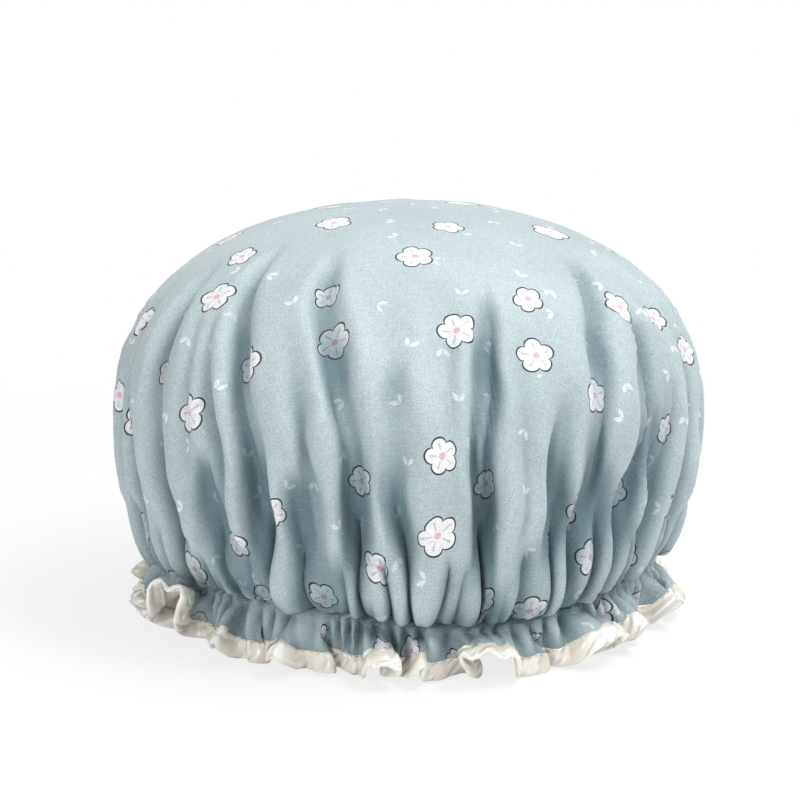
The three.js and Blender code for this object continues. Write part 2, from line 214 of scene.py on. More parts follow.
# A short valley near the casing splits each puff wider than this, in degrees
split = {
    "widest": 7.4, "place": (.4, .6), "start": (.18, .2), "strength": (.35, .6), "lean": (-.15, .15),
    "setBack": (.4, 1.6),
}
puff = {
    "gathered": .8,    # share of the cloth's spare width that the folds take up
    "growth": .02,    # arc over which a valley reaches its depth
    "twist": 2.5,    # how fast it turns from its crown angle to its hem angle
    "wander": [(1, 60, 1), (.4, 160, 3)],    # degrees, waves down the cloth and shift
    "valleyFloor": .0965, "floorArc": .12, "deepest": .019, "upperDepth": .27, "depthArcs": (.1, .16),
    "valleyRound": (.05, .36), "leans": (1, 2.2), "pinch": .1,
    "setBack": .0095, "setBackArcs": (.08, .16), "setBackEnd": .012,
    "sag": (.0005, .0056), "sagArcs": (.04, .011, .009),    # how far it hangs over the casing, arcs above it
    "points": 80, "halvings": 24,
}
# High up the valleys are hollows between ridges: half width, the share they start with, arcs over which they turn
# into narrow valleys between round puffs, lean of the ridges, and the cloth of the crown's ease, over these arcs
hollowShape = {
    "half": (.0085, .0112), "weakHalf": .55, "lead": .004, "widening": .04, "narrow": .35, "arcs": (.160, .212),
    "lean": (.05, .4), "leanWidth": .55, "dentLean": .2, "rim": .14, "rimPlace": 1.25, "rimWidth": .28,
    "flatness": 2.6, "steepness": 1.5, "merging": 4, "spare": .042, "spareArcs": ((.06, .1), (.12, .16)),
}
# Soft dents that die out again: angle above and below, arcs of start and end, strength, half width
dents = [
    (9, 6, .072, .15, .45, .011), (-8, -2, .085, .125, .25, .01), (28, 22, .09, .14, .3, .012),
    (-48, -40, .08, .12, .3, .01), (74, 66, .085, .13, .4, .01), (120, 118, .075, .14, .4, .012),
    (172, 174, .08, .13, .35, .012), (222, 224, .075, .14, .4, .012), (252, 250, .09, .135, .4, .01),
]
# Fine gathers at the casing. Waves have a size, a count round the cap and a shift; pairs make a beat
puckers = {
    "count": 96, "depth": .0026, "drift": [(3, 5, 1), (2.4, 11, 2.2), (1.3, 23, 0)],
    "even": .62, "beat": [(7, .5), (16, 1.1)], "lap": .012, "sharpness": .02, "middle": 1.3,
    "reach": .012, "reaches": .6, "reachBeat": [(13, .7), (29, 2)],
}


def splitPuffs(folds, p):
    table = []
    for i, fold in enumerate(folds):
        after = folds[i + 1] if i + 1 < len(folds) else (folds[0][0] + 360, folds[0][1] + 360)
        table.append(fold)
        if after[0] - fold[0] > p["widest"]:
            share = random.uniform(*p["place"])
            table.append((
                fold[0] + share * (after[0] - fold[0]), fold[1] + share * (after[1] - fold[1]),
                random.uniform(*p["start"]), random.uniform(*p["strength"]), random.uniform(*p["lean"]),
                fold[5] * random.uniform(*p["setBack"])))
    return np.array(table)


def smooth(x, low, high):
    t = np.clip((x - low) / (high - low), 0, 1)
    return t * t * (3 - 2 * t)


def upFrom(low, share):
    return low + (1 - low) * share


def makeProfile(p):
    # radius, height and arc of the envelope, densely
    turn = np.linspace(0, pi / 2, 900)
    power = 2 / p["exponent"]
    radius = p["radius"] * np.sin(turn) ** power
    height = p["equator"] + (p["top"] - p["equator"]) * np.maximum(np.cos(turn), 0) ** power
    low = np.linspace(p["equator"], p["tuckHeight"], 300)[1:]
    skirt = p["radius"] * np.sqrt(1 - ((p["equator"] - low) / p["skirtReach"]) ** 2)
    start = np.array([skirt[-1], low[-1]])
    end = np.array([p["casingRadius"] + puckers["depth"], p["casingTop"]])
    handles = start - p["tuckStart"], end + p["tuckEnd"]
    u = np.linspace(0, 1, 120)[1:, None]
    tuck = ((1 - u) ** 3 * start + 3 * (1 - u) ** 2 * u * handles[0]
            + 3 * (1 - u) * u ** 2 * handles[1] + u ** 3 * end)
    radius = np.concatenate([radius, skirt, tuck[:, 0]])
    height = np.concatenate([height, low, tuck[:, 1]])
    arc = np.concatenate([[0], np.cumsum(np.hypot(np.diff(radius), np.diff(height)))])
    return radius, height, arc


envelope = makeProfile(cap)
domeArc = envelope[2][-1]
casingEnd = domeArc + cap["casingTop"] - cap["casingBottom"]

foldTable = splitPuffs(folds, split)
count = len(foldTable)
wanderPhase = random.uniform(0, 2 * pi, count)
valleyRound = random.uniform(*puff["valleyRound"], count)
foldTable[:, 4] *= random.uniform(*puff["leans"], count)
hollowHalf = random.uniform(*hollowShape["half"], count) * upFrom(hollowShape["weakHalf"], foldTable[:, 3])
ridgeLean = random.uniform(*hollowShape["lean"], count) * np.sign(foldTable[:, 4])
sag = random.uniform(*puff["sag"], count)
print("valleys", count, "dome", round(float(domeArc), 4))


def envelopeAt(arc):
    # radius and height, then the outward direction, which lies level from the equator down
    radius, height, arcs = envelope
    reach = .0005
    r, z = np.interp(arc, arcs, radius), np.interp(arc, arcs, height)
    dr = np.interp(arc + reach, arcs, radius) - np.interp(arc - reach, arcs, radius)
    dz = np.interp(arc + reach, arcs, height) - np.interp(arc - reach, arcs, height)
    rise = dr / math.hypot(dr, dz) * (1 - smooth(arc, *cap["levelArcs"]))
    return r, z, math.sqrt(1 - rise * rise), rise


def swayAt(angle):
    turns = np.radians([place for place, lift in sway])
    lifts = [lift for place, lift in sway]
    turns = np.concatenate([turns - 2 * pi, turns, turns + 2 * pi])
    return sum(np.interp(angle + shift, turns, lifts * 3) for shift in np.radians(swayNear)) / len(swayNear)


def waves(angle, table):
    return sum(size * np.sin(count * angle + shift) for size, count, shift in table)


def beat(angle, pair):
    return math.prod(np.sin(count * angle + shift) for count, shift in pair)


def puckerAt(angle, p=puckers):
    # round ridges with sharp valleys, about -1 to 1
    phase = p["count"] * angle + waves(angle, p["drift"])
    height = upFrom(p["even"], beat(angle, p["beat"]))
    height = height * (1 - np.exp(-((angle - lapAngle + pi) % (2 * pi) - pi) ** 2 / p["lap"]))    # smooth there
    return height * (2 * np.sqrt(np.cos(phase / 2) ** 2 + p["sharpness"]) - p["middle"])


def puckerReach(angle, p=puckers):
    return p["reach"] * (1 + p["reaches"] * beat(angle, p["reachBeat"]))


def ringPoints(angle, radius, height):
    return np.stack([radius * np.sin(angle), -radius * np.cos(angle), height], 1)


def arcLength(points):
    steps = np.linalg.norm(np.diff(np.vstack([points, points[:1]]), axis=0), axis=1)
    return np.concatenate([[0], np.cumsum(steps)])


def puffSection(x, valley):
    # 1 in the valley at either end and 0 on the crest of the round puff between
    return (np.hypot(1, valley) - np.hypot(np.sin(pi * x), valley)) / (np.hypot(1, valley) - valley)


def hollowSection(angle, radius, middles, halves, strengths, leans, p=hollowShape):
    # depth of the wide hollows at each angle, and how far the ridges beside them lean over
    across = ((angle[None, :] - middles[:, None] + pi) % (2 * pi) - pi) * radius / halves[:, None]
    strengths, side = strengths[:, None], np.sign(leans)[:, None]
    depth = strengths * np.clip(1 - np.abs(across) ** p["flatness"], 0, 1) ** p["steepness"]
    rim = np.max(strengths * np.exp(-((np.abs(across) - p["rimPlace"]) / p["rimWidth"]) ** 2), 0)
    lean = strengths * leans[:, None] * halves[:, None] / radius * np.exp(-((across + side) / p["leanWidth"]) ** 2)
    return np.sum(depth ** p["merging"], 0) ** (1 / p["merging"]) - p["rim"] * rim, np.sum(lean, 0)


def hollowsAt(arc, angle, radius, angles, strengths, p=hollowShape):
    # the valleys and the soft dents of one ring, as hollows
    grown = smooth(arc, foldTable[:, 2] - p["lead"], foldTable[:, 2] + p["widening"])
    halves = hollowHalf * upFrom(p["narrow"], grown)
    above, below, start, end, power, half = np.array(dents).T
    along = np.clip((arc - start) / (end - start), 0, 1)
    return hollowSection(
        angle, radius, np.concatenate([angles, np.radians(above + (below - above) * along)]),
        np.concatenate([halves, half]), np.concatenate([strengths, power * np.sin(pi * along) ** 2]),
        np.concatenate([ridgeLean, np.full(len(half), p["dentLean"])]))


def clothAt(arc, radius, p=hollowShape):
    # length of cloth in a ring: the envelope's, and a share of what the flat round has more
    rising, falling = p["spareArcs"]
    ease = p["spare"] * float(smooth(arc, *rising) * (1 - smooth(arc, *falling)))
    return 2 * pi * (radius + puff["gathered"] * (arc - radius)) + ease


def foldRing(arc, p=puff):
    # one level ring of the dome, densely: its angles, its points and how deep they lie
    twist = (1 - arc / domeArc) ** p["twist"]
    angles = np.radians(foldTable[:, 0] + (foldTable[:, 1] - foldTable[:, 0]) * twist)
    for size, down, shift in p["wander"]:
        angles = angles + np.radians(size) * np.sin(arc * down + shift * wanderPhase)
    strengths = foldTable[:, 3] * smooth(arc, foldTable[:, 2], foldTable[:, 2] + p["growth"])
    widths = np.append(angles[1:], angles[0] + 2 * pi) - angles
    x = np.linspace(0, 1, p["points"], endpoint=False)[None, :]
    crest = np.sin(pi * x) ** 2

    def blended(values):
        # across a puff, from the value of its first valley to that of its second
        return values[:, None] * (1 - smooth(x, 0, 1)) + np.roll(values, -1)[:, None] * smooth(x, 0, 1)

    closed = float(smooth(arc, *hollowShape["arcs"]))
    strength = blended(strengths)
    slip = foldTable[:, 4:5] * crest - p["pinch"] * np.sin(2 * pi * x)
    angle = (angles[:, None] + widths[:, None] * (x + slip * strength * closed)).ravel()
    r, z, outward, upward = envelopeAt(arc)
    hollow, lean = hollowsAt(arc, angle, r, angles, strengths)
    pattern = hollow + ((strength * puffSection(x, blended(valleyRound))).ravel() - hollow) * closed
    angle = angle + lean * (1 - closed)
    drop = p["setBack"] * smooth(arc, *p["setBackArcs"]) * (foldTable[:, 5:6] * crest).ravel()
    drop = drop * (1 - smooth(arc, domeArc - p["setBackEnd"], domeArc))
    pucker = puckers["depth"] * (puckerAt(angle) - 1) * np.exp(-((domeArc - arc) / puckerReach(angle)) ** 2)
    room = r - p["valleyFloor"] if arc > p["floorArc"] else p["deepest"]
    first, second, third = domeArc - np.array(p["sagArcs"])
    hang = smooth(arc, first, second) * (1 - smooth(arc, third, domeArc))
    lift = swayAt(angle) * smooth(arc, domeArc - swayReach, domeArc)
    lift = lift - (sag[:, None] * np.sin(pi * x)).ravel() * hang

    def inset(depth):
        return np.minimum(depth * pattern + drop, room) - pucker

    def points(depth):
        return ringPoints(angle, r - outward * inset(depth), z - upward * inset(depth) + lift)

    # as deep as the ring's length of cloth allows
    low, high = 0, p["deepest"] * upFrom(p["upperDepth"], float(smooth(arc, *p["depthArcs"])))
    for _ in range(p["halvings"]):
        depth = (low + high) / 2
        if arcLength(points(depth))[-1] < clothAt(arc, r):
            low = depth
        else:
            high = depth
    return angle, points(low), inset(low)


def evened(values, window):
    # a running mean round the ring
    return np.convolve(np.concatenate([values] * 3), window / window.sum(), "same")[len(values):-len(values)]


def spread(angle, points, inset, columns, dense=4):
    # points at nearly even steps of cloth, from the front on, with their depths; no part slips far round
    arcs = arcLength(points)
    places = np.linspace(0, arcs[-1], columns * dense, endpoint=False)
    turned = np.interp(places, arcs, np.append(angle, angle[0] + 2 * pi)) / (2 * pi) - places / arcs[-1]
    slow = evened(turned, np.hanning(columns))
    column = (places / arcs[-1] + slow - net["front"] / (2 * pi)) * columns
    wanted = column[0] + (np.arange(columns) - column[0]) % columns
    places = np.interp(wanted, np.append(column, column[0] + columns), np.append(places, arcs[-1]))
    closed = np.column_stack([points, inset])[list(range(len(points))) + [0]]
    return np.stack([np.interp(places, arcs, closed[:, axis]) for axis in range(4)], 1)


# The frill hangs from the casing in pleated lobes. Angles are in degrees, and pairs are shares of the way down
frill = {
    "length": .0192, "printed": .0112, "rows": 17, "inward": -14, "floor": .0012, "press": .12,
    "ripples": 58, "ripple": 11, "rippleShares": (.1, .7), "drift": [(2.2, 6, .4), (1.6, 13, 2)],
    "crests": 2.4, "level": 1.5, "even": .6, "beat": [(9, 1), (17, 0)],
    "curl": 1.5, "fan": 1.1, "fanShare": .2, "fade": .012,
    "plan": (.095, .013, .006),    # the hem seen from above: radius, reach and rise of its lobes
    "cut": .22, "cuts": 3, "window": 301,    # rounding of its corners, and points it is evened over
    "satin": (.4, .75), "bendShares": (-.12, .18), "bends": (1.25, .3), "turnShare": .9,
    "leastReach": .84, "levelling": .5,
}
# Each pleat: angle, which lobe lies in front (1 the left one, -1 the right one), how far the printed cloth and the
# satin lean out, how much more the left end leans out than the right one, and how far its sides overlap
pleats = [
    (-98, 1, 40, 36, 0, 1), (-82, 1, 44, 52, 20, 1.3), (-66, -1, 74, 84, -45, 1.2), (-50, 1, 42, 36, 45, 1.9),
    (-34, 1, 38, 28, 45, 1.5), (-18, 1, 41, 26, -35, 1.5), (-3, 1, 50, 44, 35, 1.2), (11.5, -1, 50, 40, 45, 1.7),
    (29, 1, 44, 36, -30, 1.2), (45, 1, 46, 40, 40, 1.5), (60, 1, 36, 32, -50, 1.4), (78, -1, 30, 20, 30, 1.3),
    (96, 1, 34, 24, 35, 1.4), (115, -1, 49, 45, -30, 1), (134, 1, 40, 28, 40, 1.6), (153, 1, 50, 48, -30, 1.2),
    (172, -1, 42, 32, 35, 1.5), (191, 1, 45, 32, -30, 1), (210, -1, 42, 38, 40, 1.5), (229, 1, 46, 30, 30, 1.3),
    (247, -1, 40, 31, -35, 1.2),
]
# Places round a pleat with the left lobe in front: across, in shares of the way to the next, and out
pleatShape = [
    (-.3, 1), (.05, 1.02), (.11, .94), (-.02, .64), (-.16, .34), (-.12, .18), (.08, .3), (.25, .74), (.38, .96),
]


def pleatCurve(p):
    # the hem seen from above: angle, outwardness and the two leans of the lobe at dense points
    table = np.array(pleats, float)
    after = np.append(table[1:, 0], table[0, 0] + 360)
    before = np.insert(table[:-1, 0], 0, table[-1, 0] - 360)
    points = []
    for i, (angle, front, cloth, satin, tilt, overlap) in enumerate(table):
        shape = pleatShape if front > 0 else [(-x, out) for x, out in reversed(pleatShape)]
        for place, (x, out) in enumerate(shape):
            width = after[i] - angle if x > 0 else angle - before[i]
            lobe, side = (table[i], .5) if place >= len(shape) / 2 else (table[i - 1], -.5)
            leans = lobe[2] + side * lobe[4], lobe[3] + side * lobe[4] * p["curl"]
            points.append((angle + x * overlap * width, out, *leans))
    points = np.array(points)
    turn = np.array([360, 0, 0, 0])
    near, far = 1 - p["cut"], p["cut"]
    for _ in range(p["cuts"]):
        following = np.vstack([points[1:], points[:1] + turn])
        points = np.stack([points * near + following * far, points * far + following * near], 1).reshape(-1, 4)
    return np.radians(points[:, 0]), points[:, 1], np.radians(points[:, 2]), np.radians(points[:, 3])


def rippleAt(angle, p=frill):
    # waves of the hem, about -1 to 1
    phase = p["ripples"] * angle + waves(angle, p["drift"])
    wave = p["crests"] * np.abs(np.sin(phase / 2)) - p["level"]
    return wave * upFrom(p["even"], beat(angle, p["beat"]))


def frillRings(distances, columns, p=frill):
    # rings of the frill at these distances below the casing, and its columns' angles at the casing
    angle, out, cloth, satin = pleatCurve(p)
    middle, reach, rise = p["plan"]
    arcs = arcLength(ringPoints(angle, middle + reach * out, rise * out))
    early = angle < net["front"] + .3    # the stretch that holds the first column
    start = np.interp(net["front"], angle[early], arcs[:-1][early])
    laps, places = np.divmod(start + np.arange(columns) / columns * arcs[-1], arcs[-1])

    def at(values, lap=0.):
        return np.interp(places, arcs, np.append(values, values[0] + lap)) + laps * lap

    even = angle[0] + arcs[:-1] / arcs[-1] * 2 * pi
    steady = even + evened(angle - even, np.ones(p["window"]))
    angle, steady, out, cloth, satin = at(angle, 2 * pi), at(steady, 2 * pi), at(out), at(cloth), at(satin)
    radius, height, rings, last = 0 * out, 0 * out, [], 0
    for distance in distances:
        share = distance / p["length"]
        lean = cloth + (satin - cloth) * smooth(share, *p["satin"])
        slope = math.radians(p["inward"]) * (1 - out) + lean * out
        slope = slope * smooth(share, *p["bendShares"]) * (p["bends"][0] - p["bends"][1] * share)
        slope = slope + math.radians(p["ripple"]) * rippleAt(angle) * out * smooth(share, *p["rippleShares"])
        reach = (distance - last) * upFrom(p["leastReach"], out)
        radius = radius + reach * np.sin(slope)
        height = height - reach * np.cos(slope)
        last = distance
        turned = steady + (angle - steady) * smooth(share, 0, p["turnShare"])
        pucker = puckers["depth"] * puckerAt(turned) * (1 + p["fan"] * smooth(share, 0, p["fanShare"]))
        pucker = pucker * np.exp(-(distance / p["fade"]) ** 2)
        z = cap["casingBottom"] + height + swayAt(turned) * (1 - p["levelling"] * share)
        z = np.where(z < p["floor"], p["floor"] + p["press"] * (z - p["floor"]), z)
        rings.append(ringPoints(turned, cap["casingRadius"] + radius + pucker, z))
    return rings, steady


def coverRows(p):
    # arcs, points and depths of all rows of the cloth, from the crown to the frill's end
    starts = [0] + [end for end, rows in p["rows"]]
    arcs = [np.linspace(start, end, rows, endpoint=False) for start, (end, rows) in zip(starts, p["rows"])]
    arcs = np.concatenate([*arcs, np.linspace(cap["tuckArc"], domeArc, p["tuckRows"] + 1)])[1:]
    dome = np.array([spread(*foldRing(arc), p["columns"]) for arc in arcs])
    rows, insets = list(dome[:, :, :3]), dome[:, :, 3]
    distances = np.linspace(0, frill["length"], frill["rows"])
    frillRows, ring = frillRings(distances, p["columns"])
    downs = np.linspace(0, casingEnd - domeArc, p["casingRows"])[1:-1]
    for down in downs:
        radius = cap["casingRadius"] + puckers["depth"] * puckerAt(ring)
        rows.append(ringPoints(ring, radius, cap["casingTop"] - down + swayAt(ring)))
    arcs = np.concatenate([arcs, domeArc + downs, casingEnd + distances])
    insets = np.pad(insets, ((0, len(arcs) - len(insets)), (0, 0)))
    return arcs, np.array(rows + frillRows), insets


arcs, grid, insets = coverRows(net)
print("rows", grid.shape, "arc of the cloth", round(arcs[-1], 4))


def gridNormals(grid):
    along = np.roll(grid, -1, 1) - np.roll(grid, 1, 1)
    normal = np.cross(np.gradient(grid, axis=0), along)
    return normal / np.linalg.norm(normal, axis=2, keepdims=True)


# Slack and fine creases and soft dents: waves round the cap and down it, shift, depth and level of the ridges
relief = {
    "creases": [(9, 16, 0, .0018, .4), (24, 40, 7, .0006, .3)], "dents": (3, 28, 3), "dentDepth": .0008,
    "arcs": (.05, .15), "casing": .004, "casingLess": .6,
}


def crumple(grid, arcs, p):
    normals = gridNormals(grid)
    turns = np.arange(grid.shape[1]) / grid.shape[1] * 2 * pi
    for row, arc in enumerate(arcs):

        def wave(turn, around, down, shift):
            return noise.noise(Vector((math.cos(turn) * around, math.sin(turn) * around, arc * down + shift)))

        casing = float(smooth(arc, domeArc - p["casing"], domeArc + p["casing"]))
        near = float(smooth(arc, *p["arcs"])) * (1 - p["casingLess"] * casing)
        crown = float(smooth(arc, 0, p["arcs"][0]))
        for column, turn in enumerate(turns):
            push = p["dentDepth"] * wave(turn, *p["dents"]) * crown
            for around, down, shift, depth, level in p["creases"]:
                push += depth * near * (level - abs(wave(turn, around, down, shift)))
            grid[row, column] += normals[row, column] * push
    return grid


grid = crumple(grid, arcs, relief)

# Painted shade: what darkens the cloth's colour, its depth in a fold, below the columns beside it or the rows above
# it, and the gathers
paintedShade = {
    "inset": (.0011, .0072), "beside": (.0005, .0055), "columns": 11, "above": (.001, .009), "rows": 5,
    "share": .6, "edge": .001, "gather": .5, "gatherArc": .002, "gatherReach": .004,
}


def furthest(values, reach, axis):
    # the greatest value within reach either way, softened round the cap
    spans = range(-reach, reach + 1)
    if axis:
        top = np.max([np.roll(values, span, 1) for span in spans], axis=0)
        return np.mean([np.roll(top, span, 1) for span in spans], axis=0)
    padded = np.pad(values, ((reach, reach), (0, 0)), "edge")
    return np.max([padded[reach + span:reach + span + len(values)] for span in spans], axis=0)


def hollows(grid, arcs, insets, p):
    # 0 to 1: how deep the cloth lies in a fold or under a puff, or how near the gathers; the mask of the painted
    #         shade
    radius = np.hypot(grid[:, :, 0], grid[:, :, 1])
    beside = furthest(radius, p["columns"], 1) - radius
    above = (furthest(radius, p["rows"], 0) - radius) * smooth(arcs, cap["tuckArc"], domeArc)[:, None]
    below = smooth(arcs, domeArc - p["edge"], domeArc + p["edge"])[:, None]
    deep = smooth(insets, *p["inset"]) * (1 - below) + p["share"] * smooth(beside, *p["beside"]) * below
    gather = p["gather"] * np.exp(-((arcs - domeArc - p["gatherArc"]) / p["gatherReach"]) ** 2)[:, None]
    return np.clip(deep + p["share"] * smooth(above, *p["above"]) + gather, 0, 1)


# mask of the painted shade in folds, under puffs and at the gathers
hollow = hollows(grid, arcs, insets, paintedShade)


def addMesh(name, points, faces):
    mesh = bpy.data.meshes.new(name)
    mesh.from_pydata(np.asarray(points).tolist(), [], faces)
    mesh.update()
    mesh.shade_smooth()
    piece = bpy.data.objects.new(name, mesh)
    bpy.context.collection.objects.link(piece)
    return piece


def clothMesh(name, grid, arcs, hollow, pole=None):
    # rows from the top down; the first rows of a cloth with a pole have fewer columns
    columns = grid.shape[1]
    turns = np.arange(columns) / columns * 2 * pi + net["front"]
    flat = np.stack([np.sin(turns), -np.cos(turns)], 1)[None] * np.asarray(arcs)[:, None, None]
    steps, points, places, depths, rowStart, faces = [1] * len(arcs), [], [], [], [], []
    if pole is not None:
        steps = [next((step for end, step in net["coarse"] if arc < end), 1) for arc in arcs]
        points, places, depths = [np.array([pole])], [np.zeros((1, 2))], [np.zeros(1)]
        count = columns // steps[0]
        faces = [(0, 1 + k, 1 + (k + 1) % count) for k in range(count)]
    for row, step in enumerate(steps):
        rowStart.append(sum(len(p) for p in points))
        points.append(grid[row, ::step])
        places.append(flat[row, ::step])
        depths.append(hollow[row, ::step])
    for row in range(len(arcs) - 1):
        above, below = rowStart[row], rowStart[row + 1]
        count = columns // steps[row]
        for k in range(count):
            a, b = above + k, above + (k + 1) % count
            if steps[row] == steps[row + 1]:
                faces.append((a, below + k, below + (k + 1) % count, b))
            else:
                c, d, e = below + 2 * k, below + 2 * k + 1, below + (2 * k + 2) % (2 * count)
                faces += [(a, c, d), (a, d, b), (b, d, e)]
    piece = addMesh(name, np.vstack(points), faces)
    mesh = piece.data
    corner = np.empty(len(mesh.loops), int)
    mesh.loops.foreach_get("vertex_index", corner)
    mesh.uv_layers.new(name="flat").data.foreach_set("uv", np.vstack(places)[corner].ravel())
    # the hollow attribute carries the painted shade's mask to the materials
    mesh.attributes.new("hollow", "FLOAT", "POINT").data.foreach_set("value", np.concatenate(depths))
    return piece


def select(piece):
    bpy.ops.object.select_all(action="DESELECT")
    piece.select_set(True)
    bpy.context.view_layer.objects.active = piece


def thicken(piece, thickness):
    select(piece)
    wall = piece.modifiers.new("wall", "SOLIDIFY")
    wall.thickness = thickness
    wall.offset = -1
    bpy.ops.object.modifier_apply(modifier="wall")


def recalculate(piece):
    select(piece)
    bpy.ops.object.mode_set(mode="EDIT")
    bpy.ops.mesh.select_all(action="SELECT")
    bpy.ops.mesh.normals_make_consistent(inside=False)
    bpy.ops.object.mode_set(mode="OBJECT")


def finishPiece(piece, material, slot, *nodes):
    piece.data.materials.clear()
    piece.data.materials.append(material)
    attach(piece, "root")
    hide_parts(*nodes)


# Printed cloth: dusty blue with small white blossoms and faint leaves. Pairs are the ends of soft edges
printDesign = {
    "ground": linear(194, 208, 211), "shade": linear(183, 198, 201), "outline": linear(48, 50, 58),
    "petal": linear(248, 248, 250), "middle": linear(236, 190, 200), "faint": linear(236, 241, 243),
    "spacing": .0415, "scatter": .62, "sizes": (.85, .3), "spin": 6.28,
    "petals": .0066, "petalWaves": 2.5, "petalShape": (.66, .34, .55), "petalEdge": .00018, "line": .0007,
    "heart": .0015, "heartEdge": .0003,
    "ribShape": 14, "ribs": (.5, .9), "ribEnd": (.0012, .002), "ribStart": (.0016, .0022), "ribShare": .35,
    "leafSpacing": .0215, "leafScatter": .7, "leafShift": (.4, .7, 0), "leafTilt": 36, "leafBack": 1.1,
    "leafLength": .0042, "leafWidth": .0021, "leafEdge": .00025, "leafClear": (.0075, .0085),
    "leafKept": (.25, .26), "leafShare": .85, "clouds": 22, "cloudEnds": (.3, .7),
    "threads": (900, 240), "specks": 2300, "weave": .6, "speckle": 1.8, "tone": (.64, .42),
    # painted shade: the tint the cloth is darkened to deep in folds, and its share
    "paintedShadeTint": linear(134, 156, 164), "paintedShadeShare": .9, "relief": (.25, .0003), "roughness": (.62, .12),
}


def shaded(colour, tint, share):
    # painted shade: cloth deep in a fold is painted darker, in this tint
    deep = colour.node("Attribute", {"attribute_name": "hollow"}, {}, 2)
    return colour.times(tint, deep * share)


def blossoms(flat, p):
    # shares of petal, outline, middle and ribs, then the way to the nearest blossom's middle
    cells = flat.cells(p["spacing"], p["scatter"])
    chance = cells.chance()
    local = flat.vector("SUBTRACT", flat, cells.other("Position"))
    away = local.length()
    turn = local.turn() + chance * p["spin"]
    wave = turn.math("COSINE", turn * p["petalWaves"]).size()
    least, more = p["sizes"]
    waist, bulge, roundness = p["petalShape"]
    size = (least + more * chance.other("Green")) * p["petals"]
    inside = size * (waist + bulge * wave.math("POWER", wave, roundness)) - away
    rib = wave.math("POWER", wave, p["ribShape"]).step(*p["ribs"])
    rib = rib * inside.step(*p["ribEnd"]) * away.step(*p["ribStart"])
    petal = inside.step(0, p["petalEdge"])
    line = inside.step(-p["line"], p["petalEdge"] - p["line"])
    return petal, line, (away * -1 + p["heart"]).step(0, p["heartEdge"]), rib, away


def leaves(flat, p):
    # share of leaf: a shape between two arcs that points its own way
    small = flat.node("Mapping", {}, {"Vector": flat, "Location": p["leafShift"]})
    cells = small.cells(p["leafSpacing"], p["leafScatter"])
    chance = cells.chance()
    local = small.vector("SUBTRACT", small, cells.other("Position"))
    turned = {"Vector": local, "Angle": chance * p["spin"]}
    x = small.node("VectorRotate", {"rotation_type": "Z_AXIS"}, turned).parts()
    side = x.other("Y").size()
    tilt = math.radians(p["leafTilt"])
    along = (x * math.cos(tilt) + side * math.sin(tilt)) * (2 / p["leafLength"]) - p["leafBack"]
    across = side * math.cos(tilt) - x * math.sin(tilt)
    leaf = ((1 - along * along) * (p["leafWidth"] / 2) - across.size()).step(0, p["leafEdge"])
    return leaf * chance.other("Green").step(*p["leafKept"])


def weave(flat, p):
    # threads both ways and specks, about .5
    along, across = p["threads"]
    warp, weft = (flat.node("Mapping", {}, {"Vector": flat, "Scale": scale}).noise(1)
                  for scale in ((along, across, 1), (across, along, 1)))
    return (warp + weft - 1) * p["weave"] + (flat.noise(p["specks"], 0) - .5) * p["speckle"] + .5


def printedCloth(start):
    p = printDesign
    flat = start.node("UVMap", {"uv_map": "flat"})
    petal, line, heart, rib, away = blossoms(flat, p)
    leaf = leaves(flat, p) * away.step(*p["leafClear"])
    grain = weave(flat, p)
    colour = flat.noise(p["clouds"], 3).step(*p["cloudEnds"]).mix(p["ground"], p["shade"])
    for share, tint in ((leaf * p["leafShare"], "faint"), (line, "outline"), (petal, "petal"),
                        (rib * p["ribShare"], "outline"), (heart, "middle")):
        colour = share.mix(colour, p[tint])
    dark, light = p["tone"]
    tone = grain * light + dark
    colour = colour.times(tone.node("CombineColor", {}, {0: tone, 1: tone, 2: tone}))
    rough, rougher = p["roughness"]
    return flat.node("BsdfPrincipled", {}, {
        "Base Color": shaded(colour, p["paintedShadeTint"], p["paintedShadeShare"]), "Roughness": rough + grain * rougher,
        "Normal": grain.bump(*p["relief"]), "Specular IOR Level": .35, "Sheen Weight": .22, "Sheen Roughness": .4,
    })


# Satin of the band and the lining: cream, with streaks, as waves round the cap and down the cloth. The streaks mix
# in a darker copy of the cream as painted shade
satin = {
    "streaks": (900, 60), "soft": (24, 100), "slant": 70, "streakShare": .15, "ends": (.35, .65),
    # painted shade deep in folds: its tint and share
    "paintedShadeTint": linear(208, 196, 178), "paintedShadeShare": .4, "creases": (2, .6), "depth": .006,
    "rough": .08,
}


def satinCloth(colour, shade, roughness, creases):
    p = satin

    def build(start):
        flat = start.node("UVMap", {"uv_map": "flat"})
        turn, away = flat.turn(), flat.length()
        around, down = p["streaks"]
        streak = turn.node("CombineXYZ", {}, {0: turn * around, 1: away * down}).noise(1)
        around, down = p["soft"]
        soft = turn.node("CombineXYZ", {}, {0: turn * around + away * p["slant"], 1: away * down}).noise(1, 1)
        tone = streak * p["streakShare"] + soft * (1 - p["streakShare"])
        # painted shade: streaks of the darker copy, and the tint deep in folds
        tone = shaded(tone.step(*p["ends"]).mix(shade, colour), p["paintedShadeTint"], p["paintedShadeShare"])
        fold, swell = p["creases"]
        crease = (soft - .5).size() * fold + soft * swell
        return flat.node("BsdfPrincipled", {}, {
            "Base Color": tone, "Roughness": roughness + streak * p["rough"],
            "Normal": crease.bump(creases, p["depth"]), "Specular IOR Level": .9,
            "Sheen Weight": .05, "Sheen Roughness": .3,
        })
    return build


coverMaterial = makeMaterial("printed cloth", printedCloth)
# each satin: its cream, a darker copy painted in as shade, its roughness and its creases
satinMaterial = makeMaterial("satin band", satinCloth(linear(252, 250, 245), linear(236, 230, 217), .19, .7))
liningMaterial = makeMaterial("lining satin", satinCloth(linear(246, 242, 232), linear(234, 227, 213), .32, .15))

